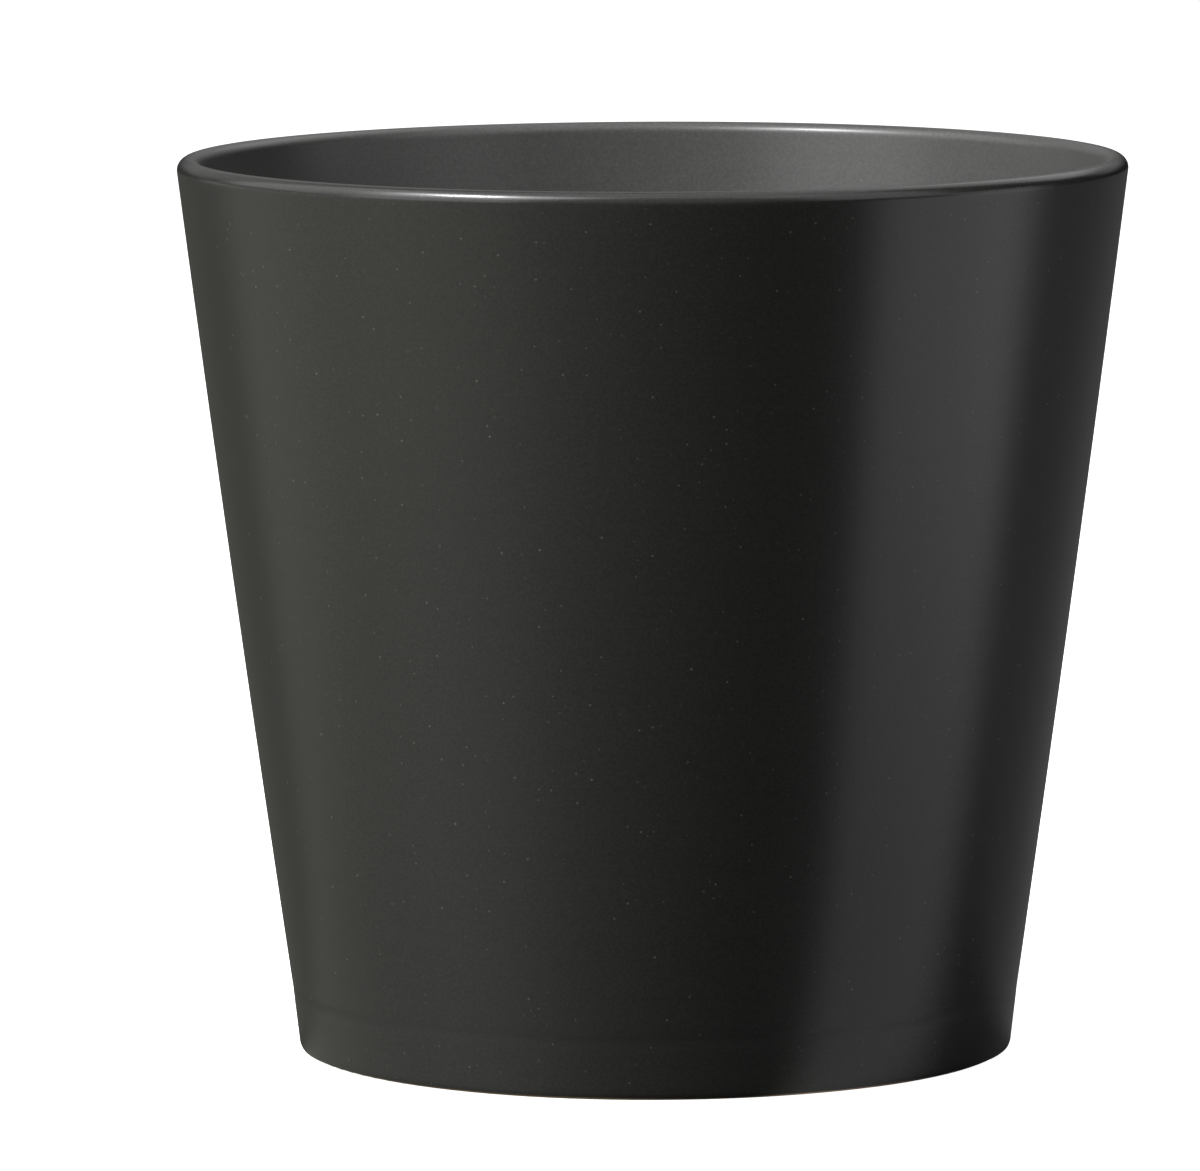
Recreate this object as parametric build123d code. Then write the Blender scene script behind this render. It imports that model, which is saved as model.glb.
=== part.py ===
from build123d import *
import os

os.makedirs("parts", exist_ok=True)

# A tapered ceramic cup with a rounded lip, glazed inside and out, that stands on an
# unglazed foot ring. It is made as the real one is: one body of fired clay, and a coat of
# glaze on each of its three faces (outside, hollow, recess under the floor).
# Sizes are millimetres. +Z is up. The origin is the centre of the foot, on the surface
# that the cup stands on. Radii and heights below are over the glaze where there is glaze.

glaze_thickness = 0.35

# Outside: a short foot band, then a faint crease, then one barely crowned wall to the lip.
height = 132.3
foot_radius = 52.65
crease_radius = 53.7
crease_height = 9.0
rim_outer_radius = 70.2         # the outer wall carried up to the top, before rounding
wall_crown = 0.25               # how far the outer wall stands proud of a straight cone

# Lip: a full round. The widest point comes to a radius of 70.
lip_rounding = 1.75

# Hollow: a straight cone with a rounded corner at the floor.
rim_inner_radius = 66.65        # the inner wall carried up to the top, before rounding
floor_height = 8.0
floor_edge_radius = 47.95       # the inner wall carried down to the floor
floor_rounding = 7.0

# Underside: a flat foot ring round a shallow recess.
foot_edge_rounding = 0.8
ring_inner_radius = 46.2
ring_inner_rounding = 0.6
recess_depth = 2.2
recess_radius = 44.7
recess_rounding = 1.0

# Where the coats end: the foot is wiped clean up to the glaze line, and the liner meets the
# outer coat just inside the lip.
glaze_line_height = 0.3
liner_top_height = 129.5

# Middle of the clay, used only to tell one coat's side of the wall from another's.
mid_floor_height = 5.0
mid_floor_radius = 50.0
mid_lip_radius = 68.2


def rounded_corner(section, corner, radius):
    """Round off the corner of a section that lies at the point given."""
    vertex = section.vertices().sort_by_distance(Vector(*corner))[0]
    return fillet(vertex, radius)


def clay_section():
    """Half-section of the clay: X is the distance from the axis, Y is the height."""
    clay_top = height - glaze_thickness
    clay_floor = floor_height - glaze_thickness
    clay_ceiling = recess_depth + glaze_thickness
    ceiling_centre = (0, clay_ceiling)
    ceiling_edge = (recess_radius + glaze_thickness, clay_ceiling)
    ring_inner = (ring_inner_radius, 0)
    foot_edge = (foot_radius - glaze_thickness, 0)
    crease = (crease_radius - glaze_thickness, crease_height)
    rim_outer = (rim_outer_radius - glaze_thickness, clay_top)
    rim_inner = (rim_inner_radius + glaze_thickness, clay_top)
    floor_edge = (floor_edge_radius + glaze_thickness, clay_floor)
    floor_centre = (0, clay_floor)

    underside = Polyline(ceiling_centre, ceiling_edge, ring_inner, foot_edge, crease)
    outer_wall = SagittaArc(crease, rim_outer, -wall_crown)
    hollow = Polyline(rim_outer, rim_inner, floor_edge, floor_centre, ceiling_centre)
    section = make_face(Curve() + [underside, outer_wall, hollow])

    section = rounded_corner(section, rim_outer, lip_rounding - glaze_thickness)
    section = rounded_corner(section, rim_inner, lip_rounding - glaze_thickness)
    section = rounded_corner(section, floor_edge, floor_rounding + glaze_thickness)
    section = rounded_corner(section, foot_edge, foot_edge_rounding)
    section = rounded_corner(section, ring_inner, ring_inner_rounding)
    section = rounded_corner(section, ceiling_edge, recess_rounding)
    return section


def coat_section(clay):
    """All the glaze in one section: a skin round the clay, open below the glaze line."""
    skin = offset(clay, amount=glaze_thickness, kind=Kind.ARC) - clay
    glazed_height = height - glaze_line_height
    glazed_zone = Rectangle(rim_outer_radius, glazed_height, align=(Align.MIN, Align.MIN))
    return skin & Pos(0, glaze_line_height) * glazed_zone


def hollow_side():
    """The hollow's side of the middle of the clay, up to the top of the liner."""
    return make_face(
        Polyline(
            (0, mid_floor_height),
            (mid_floor_radius, mid_floor_height),
            (mid_lip_radius, liner_top_height),
            (0, liner_top_height),
            close=True,
        )
    )


def recess_side():
    """The underside of the middle of the clay, out to the middle of the foot ring."""
    return Rectangle(mid_floor_radius, mid_floor_height, align=(Align.MIN, Align.MIN))


def turned(section):
    """Turn a half-section once round the axis of the cup."""
    return revolve(Plane.XZ * section, axis=Axis.Z)


clay = clay_section()
coat = coat_section(clay)

pieces = {
    "clay_body": turned(clay),
    "outer_glaze": turned(coat - hollow_side() - recess_side()),
    "liner_glaze": turned(coat & hollow_side()),
    "recess_glaze": turned(coat & recess_side()),
}

for name, piece in pieces.items():
    export_step(piece, f"parts/{name}.step")
    print(name, round(piece.volume, 1), "mm3")
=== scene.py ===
import math

import bpy
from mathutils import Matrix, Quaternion, Vector


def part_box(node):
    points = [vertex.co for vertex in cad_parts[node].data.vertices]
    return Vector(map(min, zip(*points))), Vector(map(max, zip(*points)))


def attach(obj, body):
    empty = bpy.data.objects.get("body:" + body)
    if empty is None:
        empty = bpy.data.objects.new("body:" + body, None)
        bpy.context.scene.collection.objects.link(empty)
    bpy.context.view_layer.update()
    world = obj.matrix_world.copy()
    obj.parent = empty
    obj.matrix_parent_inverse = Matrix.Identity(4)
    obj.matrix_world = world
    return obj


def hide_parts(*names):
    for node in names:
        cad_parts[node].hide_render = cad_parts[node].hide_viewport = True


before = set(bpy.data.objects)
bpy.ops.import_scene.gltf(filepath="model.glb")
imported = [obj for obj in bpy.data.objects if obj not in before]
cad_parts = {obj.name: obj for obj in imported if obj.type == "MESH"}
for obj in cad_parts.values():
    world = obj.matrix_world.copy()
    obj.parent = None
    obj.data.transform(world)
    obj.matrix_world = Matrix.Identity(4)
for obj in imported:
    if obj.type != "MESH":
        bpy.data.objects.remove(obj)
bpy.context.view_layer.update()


# ---------------------------------------------------------------------------------------
# The clay body: a cast stoneware cup, fired bare before it is glazed. It stays as the CAD
# has it, and only its foot ring shows, a dry tan line under the glaze.
# ---------------------------------------------------------------------------------------

class Wire:
    """A shader value or colour on its way to a socket. Plain arithmetic adds Math nodes."""

    def __init__(self, bench, socket):
        self.bench = bench
        self.socket = socket

    def _math(self, operation, first, second):
        return self.bench.node("ShaderNodeMath", {"operation": operation}, {0: first, 1: second})[0]

    def __add__(self, other):
        return self._math("ADD", self, other)

    def __radd__(self, other):
        return self._math("ADD", other, self)

    def __sub__(self, other):
        return self._math("SUBTRACT", self, other)

    def __rsub__(self, other):
        return self._math("SUBTRACT", other, self)

    def __mul__(self, other):
        return self._math("MULTIPLY", self, other)

    def __rmul__(self, other):
        return self._math("MULTIPLY", other, self)

    def __truediv__(self, other):
        return self._math("DIVIDE", self, other)

    def __rtruediv__(self, other):
        return self._math("DIVIDE", other, self)


class Bench:
    """One node tree on the bench, with the few ways its nodes are added and joined."""

    def __init__(self, tree):
        self.tree = tree

    def node(self, kind, settings=None, sockets=None):
        """Adds a node: its settings first, then a number, a colour or a Wire on each socket."""
        made = self.tree.nodes.new(kind)
        for key, value in (settings or {}).items():
            setattr(made, key, value)
        for key, value in (sockets or {}).items():
            if isinstance(value, Wire):
                self.tree.links.new(value.socket, made.inputs[key])
            else:
                made.inputs[key].default_value = value
        return [Wire(self, socket) for socket in made.outputs if socket.enabled]

    def place(self):
        """Where a point lies on the object, in metres."""
        return self.node("ShaderNodeTexCoord")[3]

    def split(self, where):
        """How far a place lies across, ahead and up."""
        return self.node("ShaderNodeSeparateXYZ", {}, {0: where})

    def joined(self, across, ahead, height=0.0):
        """The place that lies that far across, ahead and up."""
        return self.node("ShaderNodeCombineXYZ", {}, {0: across, 1: ahead, 2: height})[0]

    def length(self, where):
        """How far a place lies from the origin."""
        return self.node("ShaderNodeVectorMath", {"operation": "LENGTH"}, {0: where})[0]

    def noise(self, where, scale, detail=2.0, roughness=0.5, seed=0.0):
        """A soft random value, mostly between 0.3 and 0.7."""
        sockets = {"Vector": where, "W": seed, "Scale": scale, "Detail": detail, "Roughness": roughness}
        return self.node("ShaderNodeTexNoise", {"noise_dimensions": "4D"}, sockets)[0]

    def fade(self, value, low, high, at_low=0.0, at_high=1.0):
        """Runs smoothly from at_low to at_high while value runs from low to high."""
        sockets = {0: value, 1: low, 2: high, 3: at_low, 4: at_high}
        return self.node("ShaderNodeMapRange", {"interpolation_type": "SMOOTHSTEP"}, sockets)[0]

    def mix(self, share, first, second):
        """first where share is 0, second where it is 1."""
        sockets = {0: share, 6: first, 7: second}
        return self.node("ShaderNodeMix", {"data_type": "RGBA"}, sockets)[0]

    def bump(self, height, distance, strength=1.0, under=None):
        """A relief of height times distance metres, over another one if it is given."""
        sockets = {"Height": height, "Distance": distance, "Strength": strength}
        if under is not None:
            sockets["Normal"] = under
        return self.node("ShaderNodeBump", {}, sockets)[0]

    def surface(self, sockets):
        """Ends a material: one shader with these values and Wires on its sockets."""
        shader = self.node("ShaderNodeBsdfPrincipled", {}, sockets)[0]
        self.node("ShaderNodeOutputMaterial", {}, {"Surface": shader})


def empty_material(name):
    """A new material and the bench its nodes are made on."""
    material = bpy.data.materials.new(name)
    material.use_nodes = True
    material.node_tree.nodes.clear()
    return material, Bench(material.node_tree)


mm = 0.001


def bare_clay():
    """Fired stoneware: warm tan, dry and sandy, with dark and pale grains."""
    darker_tan = (0.30, 0.205, 0.125, 1)
    lighter_tan = (0.40, 0.29, 0.19, 1)
    pale_grain = (0.56, 0.46, 0.34, 1)
    dark_grain = (0.12, 0.075, 0.045, 1)
    material, bench = empty_material("fired_clay")
    where = bench.place()
    cloud = bench.noise(where, 60.0, detail=3.0)
    grain = bench.noise(where, 2600.0, detail=2.0, roughness=0.7)
    tone = bench.mix(bench.fade(cloud, 0.35, 0.65), darker_tan, lighter_tan)
    tone = bench.mix(bench.fade(grain, 0.60, 0.72) * 0.6, tone, pale_grain)
    tone = bench.mix(bench.fade(grain, 0.38, 0.30) * 0.6, tone, dark_grain)
    relief = bench.bump(grain, 0.06 * mm)
    bench.surface({"Base Color": tone, "Roughness": 0.85 + 0.1 * cloud, "Normal": relief})
    return material


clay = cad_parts["clay_body"]
clay.data.materials.clear()
clay.data.materials.append(bare_clay())


# ---------------------------------------------------------------------------------------
# The outer glaze: satin anthracite, sprayed on the outside and over the lip and wiped off
# where the cup stands. It is a skin a third of a millimetre thick, turned round the axis,
# with the faint rings and the slight oval that turning and firing leave in the clay.
# ---------------------------------------------------------------------------------------

glaze_thickness = 0.35          # this and the sizes of every outline are in millimetres
sunk = 0.12                     # how far a coat's hidden skin lies inside the clay
fine_step = 0.8                 # between points of a visible wall
coarse_step = 7.0               # between points of a hidden skin
arc_step = math.radians(7)      # between points of a tight arc, at most

glaze_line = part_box("outer_glaze")[0].z / mm
rim_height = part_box("outer_glaze")[1].z / mm
join_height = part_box("liner_glaze")[1].z / mm
foot_edge = (52.5, glaze_line)
edge_rounding = 0.16            # of the glaze's own edge, where it is wiped off
edge_step = 0.3
foot_turn = (52.74, 0.9)
foot_rounding = 1.1
foot_step = 0.7
crease = (53.7, 9.0)
crease_width = 3.2
crease_depth = 0.025
crease_rounding = 5.0
crease_side_rounding = 9.0
crease_step = 0.4
rim_outer = (70.2, rim_height)
rim_inner = (66.65, rim_height)
inner_wall_foot = (47.95, 8.0)
lip_rounding = 1.75
lip_step = 0.25
inner_lip_step = 0.5
join_step = 0.35
wall_crown = 0.25               # how far the outer wall stands proud of a straight cone
crown_rounding = 6900.0         # the radius of that long, shallow curve


def between(start, end, share):
    """The point that lies that share of the way from start to end."""
    return tuple(a + (b - a) * share for a, b in zip(start, end))


def on_inner_wall(height):
    """The point of the hollow's wall at that height."""
    share = (height - inner_wall_foot[1]) / (rim_inner[1] - inner_wall_foot[1])
    return between(inner_wall_foot, rim_inner, share)


def arc(before, corner, after, radius, step):
    """Points of the arc that rounds off a corner between two straight runs."""
    corner = Vector(corner)
    back = (Vector(before) - corner).normalized()
    ahead = (Vector(after) - corner).normalized()
    half = back.angle(ahead) / 2
    middle = corner + (back + ahead).normalized() * radius / math.sin(half)
    first = corner + back * radius / math.tan(half) - middle
    last = corner + ahead * radius / math.tan(half) - middle
    turn = math.atan2(first.cross(last), first.dot(last))
    count = max(2, round(abs(turn) / arc_step), round(abs(turn) * radius / step))
    points = []
    for i in range(count + 1):
        angle = turn * i / count
        x = first.x * math.cos(angle) - first.y * math.sin(angle)
        y = first.x * math.sin(angle) + first.y * math.cos(angle)
        points.append((middle.x + x, middle.y + y))
    return points


def outline(corners, closed):
    """Points through corners (place, rounding, step). The step is that of the run that
    follows, and of the corner's own arc where the arc is long."""
    arcs = []
    for i, (place, radius, step) in enumerate(corners):
        at_end = not closed and i in (0, len(corners) - 1)
        if radius and not at_end:
            after = corners[(i + 1) % len(corners)][0]
            arcs.append(arc(corners[i - 1][0], place, after, radius, step))
        else:
            arcs.append([place])
    points = []
    for i, points_here in enumerate(arcs):
        points += points_here
        if i + 1 < len(arcs) or closed:
            goal = arcs[(i + 1) % len(arcs)][0]
            start = points_here[-1]
            count = max(1, round(math.dist(start, goal) / corners[i][2]))
            points += [between(start, goal, k / count) for k in range(1, count)]
    if closed:
        points.append(points[0])
    return points


def behind(corners, depth):
    """The way back: the same corners in reverse, that far to the left of the way out."""
    moved = []
    for i, (place, radius, step) in enumerate(corners):
        here = Vector(place)
        back = here - Vector(corners[i - 1][0]) if i else None
        ahead = Vector(corners[i + 1][0]) - here if i + 1 < len(corners) else None
        back = (back or ahead).normalized()
        ahead = (ahead or back).normalized()
        left = Vector((-back.y - ahead.y, back.x + ahead.x))
        left = left * depth / (1 + back.dot(ahead))
        rounded = max(0.0, radius - depth) if radius < 10 * depth else radius
        moved.append((tuple(here + left), rounded, coarse_step))
    return moved[::-1]


def turned_coat_tree():
    """Turns an outline round the axis into a closed skin: a grid whose rows take the outline's
    points and whose columns are the steps round, with rings, an oval and a wavy foot edge."""
    tree = bpy.data.node_groups.new("turned_coat", "GeometryNodeTree")
    panel = tree.interface
    panel.new_socket("Outline", in_out="INPUT", socket_type="NodeSocketGeometry")
    for name, kind in (
        ("Steps Round", "NodeSocketInt"),
        ("Oval", "NodeSocketFloat"),
        ("Ring Depth", "NodeSocketFloat"),
        ("Ring Spacing", "NodeSocketFloat"),
        ("Edge Height", "NodeSocketFloat"),
        ("Edge Wander", "NodeSocketFloat"),
        ("Edge Reach", "NodeSocketFloat"),
        ("Seed", "NodeSocketFloat"),
        ("Glaze", "NodeSocketMaterial"),
    ):
        panel.new_socket(name, in_out="INPUT", socket_type=kind)
    panel.new_socket("Coat", in_out="OUTPUT", socket_type="NodeSocketGeometry")

    bench = Bench(tree)
    given = bench.node("NodeGroupInput")
    points, steps, oval, ring_depth, ring_spacing = given[:5]
    edge_height, edge_wander, edge_reach, seed, glaze = given[5:10]

    # Which point of the outline, and how far round, each point of the grid stands for.
    size = bench.node("GeometryNodeAttributeDomainSize", {}, {0: points})[0]
    grid = bench.node("GeometryNodeMeshGrid", {}, {2: steps + 1, 3: size})[0]
    index = bench.node("GeometryNodeInputIndex")[0]
    column = bench.node("ShaderNodeMath", {"operation": "FLOOR"}, {0: (index + 0.5) / size})[0]
    row = index - column * size
    place = bench.node("GeometryNodeInputPosition")[0]
    sampled = bench.node(
        "GeometryNodeSampleIndex", {"data_type": "FLOAT_VECTOR"}, {0: points, 1: place, 2: row}
    )[0]
    distance, _, height = bench.split(sampled)
    angle = column * math.tau / steps
    across = bench.node("ShaderNodeMath", {"operation": "COSINE"}, {0: angle})[0]
    ahead = bench.node("ShaderNodeMath", {"operation": "SINE"}, {0: angle})[0]

    # Rings run nearly level round the wall. The oval is wider across X than across Y.
    drift = bench.joined(across, ahead, height / ring_spacing)
    rings = bench.noise(drift, 1.0, detail=1.0, seed=seed)
    shape = (rings - 0.5) * 2.0 * ring_depth + (across * across - 0.5) * oval
    wall_only = bench.fade(distance, 20 * mm, 45 * mm)
    reach = distance + shape * wall_only

    # The edge wiped at the foot wanders up and down a little.
    course = bench.joined(across, ahead, seed)
    wander = (bench.noise(course, 2.5, detail=3.0, seed=seed) - 0.5) * 2.0 * edge_wander
    height = height + wander * bench.fade(height, edge_height, edge_height + edge_reach, 1.0, 0.0)

    turned = bench.joined(reach * across, reach * ahead, height)
    skin = bench.node("GeometryNodeSetPosition", {}, {0: grid, 2: turned})[0]
    skin = bench.node("GeometryNodeMergeByDistance", {}, {0: skin, 2: 0.002 * mm})[0]
    skin = bench.node("GeometryNodeSetShadeSmooth", {"domain": "FACE"}, {0: skin, 2: True})[0]
    fold = bench.node("GeometryNodeInputMeshEdgeAngle")[0]
    sharp = bench.node("ShaderNodeMath", {"operation": "GREATER_THAN"}, {0: fold, 1: math.radians(50)})[0]
    skin = bench.node("GeometryNodeSetShadeSmooth", {"domain": "EDGE"}, {0: skin, 1: sharp, 2: False})[0]
    skin = bench.node("GeometryNodeRealizeInstances", {}, {0: skin})[0]
    skin = bench.node("GeometryNodeSetMaterial", {}, {0: skin, 2: glaze})[0]
    bench.node("NodeGroupOutput", {}, {0: skin})
    return tree


def turned_coat(name, points, sizes):
    """One coat: its outline is turned by the tree and comes back as a plain mesh."""
    outline_mesh = bpy.data.meshes.new(name + "_outline")
    outline_mesh.from_pydata([(x * mm, 0.0, z * mm) for x, z in points], [], [])
    source = bpy.data.objects.new(name + "_outline", outline_mesh)
    bpy.context.scene.collection.objects.link(source)
    modifier = source.modifiers.new("turned", "NODES")
    modifier.node_group = coat_tree
    for item in coat_tree.interface.items_tree:
        if item.item_type == "SOCKET" and item.name in sizes:
            modifier[item.identifier] = sizes[item.name]
    depsgraph = bpy.context.evaluated_depsgraph_get()
    mesh = bpy.data.meshes.new_from_object(source.evaluated_get(depsgraph))
    mesh.name = name
    mesh.materials.pop(index=0)  # the outline's own slot, which is empty
    bpy.data.objects.remove(source)
    coat = bpy.data.objects.new(name, mesh)
    bpy.context.scene.collection.objects.link(coat)
    return coat


mid_wall_foot = 49.5            # the middle of the wall's thickness, carried down to the table
mid_wall_slope = 0.1425         # how far it moves out for each step up


def anthracite_glaze():
    """Satin near-black glaze, a little olive, with tiny pale specks and faint turning marks.
    It is drier in the hollow, from the top of the lip inwards, and painted paler there: painted light for
    the light that falls into the cup and onto the inner lip."""
    outside_dark = (0.0172, 0.0175, 0.0167, 1)
    outside_light = (0.0207, 0.0211, 0.0200, 1)
    outside_grit = (0.050, 0.050, 0.047, 1)
    # The hollow's paler tones are painted light, for the light that falls into the cup and onto the inner
    # lip.
    painted_lit_hollow_dark = (0.047, 0.0475, 0.046, 1)
    painted_lit_hollow_light = (0.057, 0.0575, 0.056, 1)
    painted_lit_hollow_grit = (0.13, 0.13, 0.126, 1)
    speck_colour = (0.11, 0.11, 0.10, 1)
    # Painted shade, for the crease above the foot.
    crease_shade_colour = (0.008, 0.008, 0.008, 1)
    material, bench = empty_material("satin_anthracite")
    where = bench.place()
    across, ahead, height = bench.split(where)

    # The hollow is what lies inside the middle of the wall and above the middle of the floor.
    inside_wall = bench.length(bench.joined(across, ahead)) - (mid_wall_foot * mm + mid_wall_slope * height)
    hollow = bench.fade(inside_wall, 0.9 * mm, -0.9 * mm) * bench.fade(height, 4 * mm, 6 * mm)

    # Soft clouds, then turning marks that run level, then a fine grit.
    cloud = bench.noise(where, 28.0, detail=3.0)
    # Painted light: the hollow and the inner half of the lip take the paler tones.
    dark = bench.mix(hollow, outside_dark, painted_lit_hollow_dark)
    light = bench.mix(hollow, outside_light, painted_lit_hollow_light)
    tone = bench.mix(cloud, dark, light)
    level = bench.node("ShaderNodeMapping", {}, {"Vector": where, "Scale": (6.0, 6.0, 420.0)})[0]
    marks = bench.noise(level, 1.0, detail=3.0, roughness=0.6)
    tone = bench.mix(bench.fade(marks, 0.35, 0.7) * 0.25, tone, dark)
    grain = bench.noise(where, 2400.0, detail=2.0)
    grit = bench.mix(hollow, outside_grit, painted_lit_hollow_grit)
    tone = bench.mix(bench.fade(grain, 0.35, 0.65) * 0.18, tone, grit)

    # A speck at the middle of each cell, most of them faint.
    cells = bench.node("ShaderNodeTexVoronoi", {"feature": "F1"}, {"Vector": where, "Scale": 560.0})
    paleness = bench.node("ShaderNodeSeparateColor", {}, {0: cells[1]})[0]
    specks = bench.fade(cells[0], 0.105, 0.06) * (0.15 + 0.85 * paleness * paleness)
    tone = bench.mix(specks, tone, speck_colour)

    # The crease above the foot is a little drier, in patches, and painted darker there: painted shade in
    # the crease.
    off_crease = bench.node("ShaderNodeMath", {"operation": "ABSOLUTE"}, {0: height - crease[1] * mm})[0]
    crease_shade_and_dryness = bench.fade(off_crease, 1.2 * mm, 0.1 * mm) * (1.0 - hollow) * bench.fade(cloud, 0.35, 0.6)
    tone = bench.mix(crease_shade_and_dryness * 0.3, tone, crease_shade_colour)

    swell = bench.noise(where, 260.0, detail=1.0)
    relief = bench.bump(marks, 0.02 * mm)
    relief = bench.bump(grain, 0.005 * mm, under=relief)
    relief = bench.bump(swell, 0.012 * mm, under=relief)
    dryness = 0.21 + 0.07 * cloud + 0.10 * hollow + 0.10 * crease_shade_and_dryness
    bench.surface({"Base Color": tone, "Roughness": dryness, "Normal": relief})
    return material


coat_tree = turned_coat_tree()
glaze = anthracite_glaze()
crown_corner = between(crease, rim_outer, 0.5)
crown_corner = (crown_corner[0] + 2 * wall_crown, crown_corner[1])
below_crease = between(foot_turn, crease, 1 - crease_width / 2 / crease[1])
above_crease = between(crease, rim_outer, crease_width / 2 / (rim_height - crease[1]))

seen = [
    (foot_edge, edge_rounding, edge_step),
    (foot_turn, foot_rounding, foot_step),
    (below_crease, crease_side_rounding, crease_step),
    ((crease[0] - crease_depth, crease[1]), crease_rounding, crease_step),
    (above_crease, crease_side_rounding, fine_step),
    (crown_corner, crown_rounding, fine_step),
    (rim_outer, lip_rounding, lip_step),
    (rim_inner, lip_rounding, inner_lip_step),
    (on_inner_wall(join_height), 0.0, join_step),
]
shared = {
    "Steps Round": 332,
    "Oval": 0.12 * mm,
    "Ring Depth": 0.012 * mm,
    "Ring Spacing": 3.2 * mm,
    "Edge Height": glaze_line * mm,
    "Edge Wander": 0.0,
    "Edge Reach": 1.5 * mm,
    "Seed": 4.0,
    "Glaze": glaze,
}
outer_coat = turned_coat(
    "outer_coat",
    outline(seen + behind(seen, glaze_thickness + sunk), closed=True),
    shared | {"Edge Wander": 0.1 * mm},
)
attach(outer_coat, "root")
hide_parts("outer_glaze")


# ---------------------------------------------------------------------------------------
# The liner glaze: the same glaze, poured into the hollow and out again. It covers the floor
# and the inner wall, and meets the outer coat just inside the lip.
# ---------------------------------------------------------------------------------------

floor_rounding = 7.0
floor_step = 2.5

seen = [
    (on_inner_wall(join_height), 0.0, fine_step),
    (inner_wall_foot, floor_rounding, floor_step),
    ((0.0, inner_wall_foot[1]), 0.0, 0.0),
]
liner_coat = turned_coat(
    "liner_coat",
    outline(behind(seen, glaze_thickness + sunk) + seen, closed=False),
    shared,
)
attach(liner_coat, "root")
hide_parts("liner_glaze")


# ---------------------------------------------------------------------------------------
# The recess glaze: a thin coat of the same glaze under the floor, inside the foot ring. It
# is wiped off with the foot, so it stops short of the surface that the cup stands on.
# ---------------------------------------------------------------------------------------

recess_corner = (44.7, 2.2)
recess_edge = (45.56, glaze_line)
recess_rounding = 0.65
recess_step = 0.5

seen = [
    ((0.0, recess_corner[1]), 0.0, floor_step),
    (recess_corner, recess_rounding, recess_step),
    (recess_edge, edge_rounding, edge_step),
]
recess_coat = turned_coat(
    "recess_coat",
    outline(seen + behind(seen, glaze_thickness + sunk), closed=False),
    shared | {"Edge Wander": 0.08 * mm, "Edge Reach": 1.0 * mm},
)
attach(recess_coat, "root")
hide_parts("recess_glaze")


# ---------------------------------------------------------------------------------------
# The floor: a wide white sheet that the cup stands on. It glows evenly instead of catching
# the lamps, and it is kept out of the glaze's reflections, as a cut-out on white would be.
# ---------------------------------------------------------------------------------------

def level_sheet(name, half_width, height, material):
    """A square sheet at that height, in metres. It throws no shade."""
    mesh = bpy.data.meshes.new(name)
    corners = ((-1, -1), (1, -1), (1, 1), (-1, 1))
    mesh.from_pydata([(x * half_width, y * half_width, height) for x, y in corners], [], [(0, 1, 2, 3)])
    mesh.materials.append(material)
    sheet = bpy.data.objects.new(name, mesh)
    sheet.visible_shadow = False
    bpy.context.scene.collection.objects.link(sheet)
    return sheet


def white_sheet():
    """Even white, lit from within."""
    material, bench = empty_material("white_floor")
    bench.surface({
        "Base Color": (0.8, 0.8, 0.8, 1),
        "Roughness": 1.0,
        "Emission Color": (1.0, 1.0, 1.0, 1),
        "Emission Strength": 1.0,
    })
    return material


floor = level_sheet("floor", 12.0, 0.0, white_sheet())
floor.visible_diffuse = False
floor.visible_glossy = False

world = bpy.data.worlds.new("white")
bpy.context.scene.world = world
world.use_nodes = True
world.node_tree.nodes["Background"].inputs["Color"].default_value = (1, 1, 1, 1)
world.cycles_visibility.diffuse = False
world.cycles_visibility.glossy = False


# ---------------------------------------------------------------------------------------
# The table glow: what the lower wall of the cup mirrors. It is the white table top, lit on
# the left and on the right, with the cup's own shade between them at the front.
# ---------------------------------------------------------------------------------------

def lit_table():
    """A lit sector on the left and one on the right, each with soft edges. The shade between them
    ends some way off, in front. Behind the cup there is only a faint light."""
    left_tint = (0.985, 1.0, 0.82, 1)
    right_tint = (1.04, 1.0, 1.04, 1)
    material, bench = empty_material("table_glow")
    where = bench.place()
    across, ahead, _ = bench.split(where)
    distance = bench.length(where)
    turn = bench.node("ShaderNodeMath", {"operation": "ARCTAN2"}, {0: across, 1: 0.0 - ahead})[0]
    degrees = turn * (180 / math.pi)  # 0 in front of the cup, and more to the right

    def in_front_of(slope, offset):
        """How far in front of a straight line across the table a place lies, for its distance from
        the cup. The line passes that offset in front of the axis, in metres."""
        return (slope * across - offset - ahead) / distance

    # Every edge is such a line, and the light fades in or out across it.
    left_lit = bench.fade(in_front_of(-0.665, 0.040), -0.15, 0.15)
    left_level = bench.fade(degrees, 22.0, -60.0) * bench.fade(degrees, -120.0, -85.0, 0.28, 0.45)
    right_lit = bench.fade(in_front_of(0.22, 0.050), -0.18, 0.10)
    right_level = bench.fade(in_front_of(-0.672, 0.037), 0.10, -0.12) * 0.87
    near_shade = bench.fade(distance, 0.07, 0.5, 0.52, 1.0)
    level = (left_lit * left_level + right_lit * right_level) * near_shade
    level = level + 0.08 * bench.fade(ahead / distance, -0.1, 0.3)
    far_front = bench.fade(distance, 0.25, 0.8) * bench.fade(ahead / distance, 0.0, -0.4)
    level = level + 0.6 * far_front * (1.0 - left_lit) * (1.0 - right_lit)

    tint = bench.mix(bench.fade(degrees, 0.0, 40.0), left_tint, right_tint)
    bench.surface({
        "Base Color": (0, 0, 0, 1),
        "Emission Color": bench.mix(level, (0, 0, 0, 1), tint),
        "Emission Strength": 1.0,
    })
    return material


table_glow = level_sheet("table_glow", 3.0, -0.5 * mm, lit_table())
table_glow.visible_camera = False


# ---------------------------------------------------------------------------------------
# The lamps and the camera: softboxes round the cup, and a long lens from a little above.
# ---------------------------------------------------------------------------------------

aim = Vector((0.0, 0.0, rim_height * mm / 2))
lamp_distance = 1.5


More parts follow.
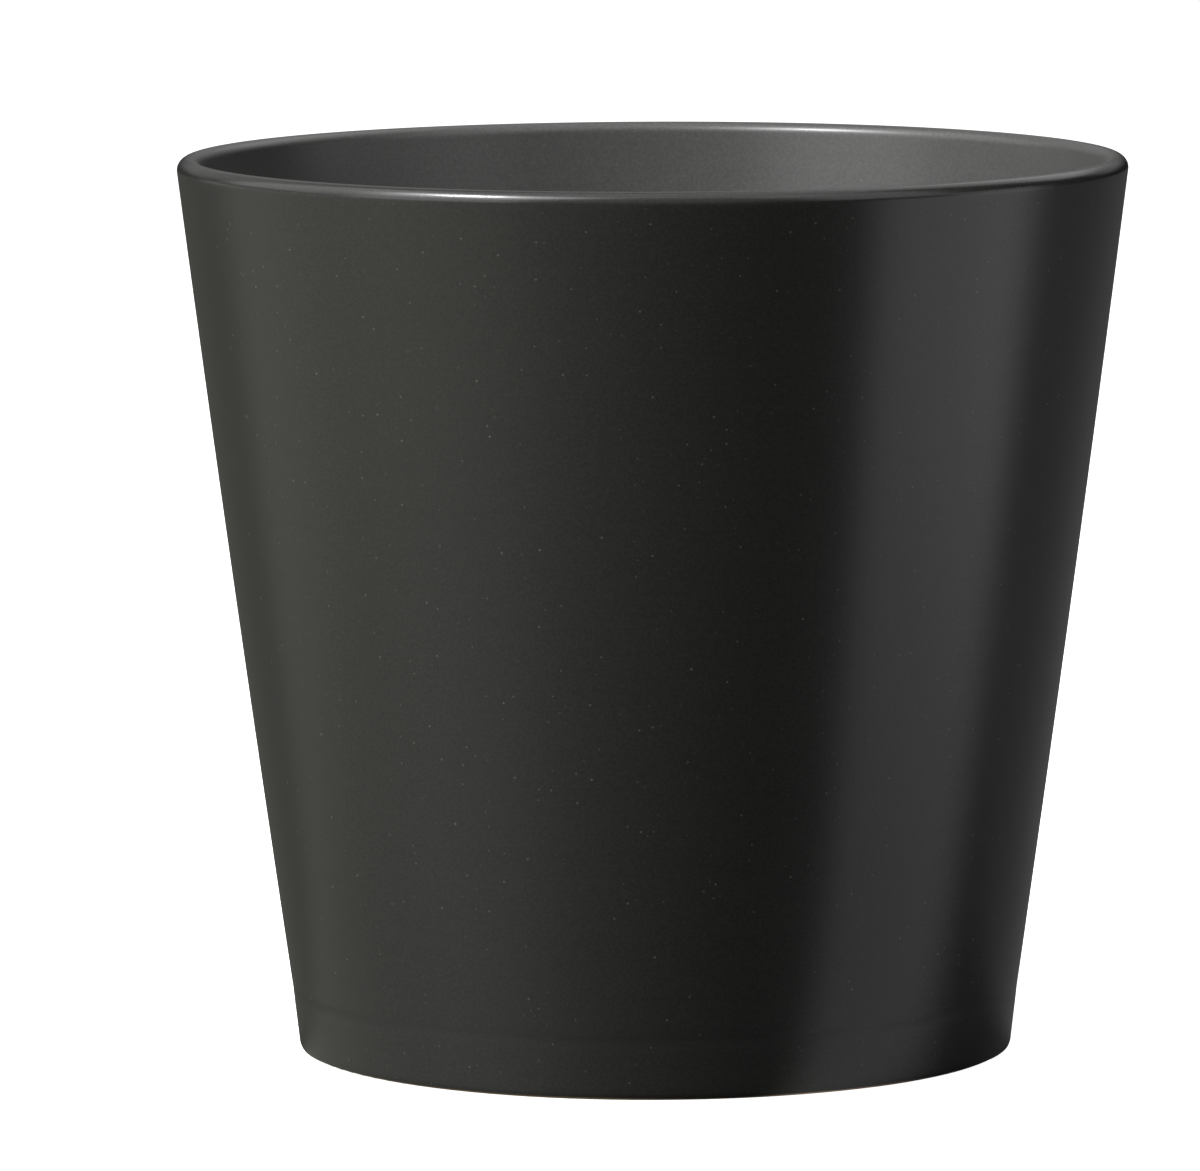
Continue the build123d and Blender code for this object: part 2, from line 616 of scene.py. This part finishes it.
def softbox(name, azimuth, elevation, width, height, brightness):
    """A soft rectangular lamp that faces the cup. Azimuth is in degrees, 0 on the camera's side and
    more to the right. Brightness is what its face would read, where 1 is white."""
    lamp = bpy.data.lights.new(name, "AREA")
    lamp.shape = "RECTANGLE"
    lamp.size = width
    lamp.size_y = height
    lamp.energy = brightness * math.pi * width * height
    holder = bpy.data.objects.new(name, lamp)
    turn, rise = math.radians(azimuth), math.radians(elevation)
    way = Vector((math.sin(turn) * math.cos(rise), -math.cos(turn) * math.cos(rise), math.sin(rise)))
    holder.location = aim + way * lamp_distance
    holder.rotation_mode = "QUATERNION"
    holder.rotation_quaternion = way.to_track_quat("Z", "Y")
    holder.visible_camera = False
    bpy.context.scene.collection.objects.link(holder)


softbox("key_lamp", -60, 54, 0.10, 0.10, 680.0)
softbox("high_left_softbox", -56, 50, 1.00, 0.90, 4.4)
softbox("left_softbox", -55, 20, 1.20, 0.70, 2.1)
softbox("back_left_softbox", -105, 38, 1.10, 1.30, 1.3)
softbox("low_left_strip", -95, 3, 2.60, 0.35, 0.48)
softbox("front_softbox", 0, 42, 1.30, 1.70, 0.28)
softbox("right_softbox", 58, 36, 0.90, 1.40, 1.1)
softbox("low_right_softbox", 90, 5, 0.75, 0.66, 1.0)
softbox("back_right_softbox", 145, 42, 1.00, 0.90, 0.9)
softbox("ceiling_softbox", 0, 89, 1.60, 1.60, 0.9)
softbox("back_softbox", 180, 30, 2.50, 1.00, 0.25)

camera_data = bpy.data.cameras.new("camera")
camera_data.lens = 318.5
camera_data.sensor_width = 36.0
camera_data.clip_start = 0.05
camera_data.clip_end = 60.0
camera = bpy.data.objects.new("camera", camera_data)
camera.location = (0.0, -1.5602, 0.25096)
yaw, pitch, roll = 0.0051, -0.1164, -0.0037
camera.rotation_mode = "QUATERNION"
camera.rotation_quaternion = (
    Quaternion((0, 0, 1), yaw) @ Quaternion((1, 0, 0), math.pi / 2 + pitch) @ Quaternion((0, 0, 1), roll)
)
bpy.context.scene.collection.objects.link(camera)
bpy.context.scene.camera = camera
bpy.context.scene.view_settings.view_transform = "Standard"
